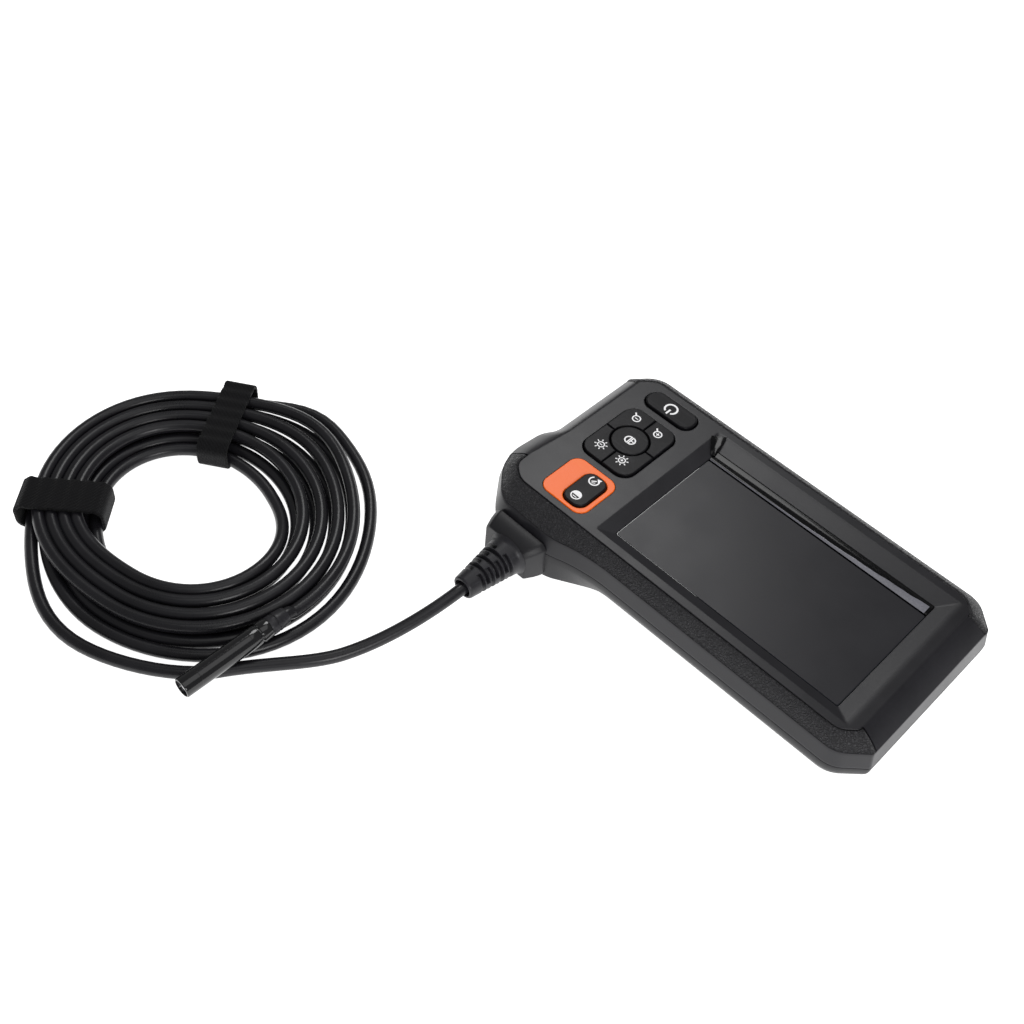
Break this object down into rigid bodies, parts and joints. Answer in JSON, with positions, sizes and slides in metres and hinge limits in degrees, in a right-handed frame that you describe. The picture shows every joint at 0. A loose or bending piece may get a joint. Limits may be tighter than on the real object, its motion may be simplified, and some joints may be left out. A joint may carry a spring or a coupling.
{
  "type": "inspection camera",
  "caption": "Handheld inspection camera: flat pad with recessed screen, key cluster and side grips, a slotted strain relief and a coiled, strapped cable ending in a slim camera probe.",
  "frame": {"origin": "centre of the pad's flat back face, on the plane it rests on", "axes": "+X along the pad from the key end to the screen end, +Y away from the cable side, +Z out of the screen face"},
  "size_m": [0.3437, 0.2703, 0.0312],
  "materials": {
    "shell": "fine matte moulded",
    "grip": "leather-grain soft touch",
    "lens": "dark tinted",
    "film": "matte film",
    "trim": "gloss black",
    "gasket": "matte",
    "lcd": "satin",
    "accent": "satin orange",
    "keys": "matte",
    "membrane": "matte",
    "switch": "satin",
    "board": "satin green",
    "battery": "wrapped",
    "socket": "satin",
    "screw": "dark zinc",
    "plug": "fine matte moulded",
    "boot": "matte",
    "cable": "satin",
    "connector": "natural nylon",
    "probe": "gloss black anodised",
    "optic": "clear",
    "leds": "diffusing",
    "module": "matte",
    "tie": "woven hook and loop"
  },
  "bodies": {
    "pad": {"front_shell": "shell", "rear_shell": "shell", "near_grip": "grip", "far_grip": "grip", "display_glass": "lens", "display_gasket": "gasket", "lcd_panel": "lcd", "screen_film": "film", "screen_trim": "trim", "accent_plate": "accent", "keypad_membrane": "membrane", "tact_switches": "switch", "key_board": "board", "main_board": "board", "battery_pack": "battery", "charge_port": "socket", "card_slot": "socket", "case_screws": "screw", "plug_block": "plug", "strain_relief_boot": "boot", "cable_lead": "cable", "lead_connector": "connector"},
    "power_button": {"power_key": "keys"},
    "zoom_out_button": {"zoom_out_key": "keys"},
    "zoom_in_button": {"zoom_in_key": "keys"},
    "light_down_button": {"light_down_key": "keys"},
    "light_up_button": {"light_up_key": "keys"},
    "camera_switch_button": {"camera_switch_key": "keys"},
    "flip_button": {"flip_rocker": "keys"},
    "cover_flap": {"port_cover": "boot"},
    "cable_run": {"cable": "cable", "probe_tube": "probe", "probe_neck": "boot", "lens_window": "optic", "led_ring": "leds", "camera_module": "module", "upper_tie": "tie", "left_tie": "tie"}
  },
  "joints": [
    {"name": "power_press", "type": "slide", "parent": "pad", "child": "power_button", "axis": [0, 0, -1], "range_m": [0, 0.0007], "stiffness_N_per_m": 150, "springref_m": -0.0003},
    {"name": "zoom_out_press", "type": "slide", "parent": "pad", "child": "zoom_out_button", "axis": [0, 0, -1], "range_m": [0, 0.0007], "stiffness_N_per_m": 150, "springref_m": -0.0003},
    {"name": "zoom_in_press", "type": "slide", "parent": "pad", "child": "zoom_in_button", "axis": [0, 0, -1], "range_m": [0, 0.0007], "stiffness_N_per_m": 150, "springref_m": -0.0003},
    {"name": "light_down_press", "type": "slide", "parent": "pad", "child": "light_down_button", "axis": [0, 0, -1], "range_m": [0, 0.0007], "stiffness_N_per_m": 150, "springref_m": -0.0003},
    {"name": "light_up_press", "type": "slide", "parent": "pad", "child": "light_up_button", "axis": [0, 0, -1], "range_m": [0, 0.0007], "stiffness_N_per_m": 150, "springref_m": -0.0003},
    {"name": "camera_switch_press", "type": "slide", "parent": "pad", "child": "camera_switch_button", "axis": [0, 0, -1], "range_m": [0, 0.0007], "stiffness_N_per_m": 150, "springref_m": -0.0003},
    {"name": "flip_rock", "type": "hinge", "parent": "pad", "child": "flip_button", "pos_m": [-0.05875, -0.02855, 0.027], "axis": [1, 0, 0], "range_deg": [-2.5, 2.5], "stiffness_Nm_per_rad": 0.004},
    {"name": "cover_hinge", "type": "hinge", "parent": "pad", "child": "cover_flap", "pos_m": [-0.0919, 0.008, 0.0046], "axis": [0, -1, 0], "range_deg": [0, 95]},
    {"name": "boot_flex", "type": "hinge", "parent": "pad", "child": "cable_run", "pos_m": [-0.067, -0.0819, 0.0105], "axis": [0, 0, 1], "range_deg": [-8, 8], "stiffness_Nm_per_rad": 0.05}
  ]
}
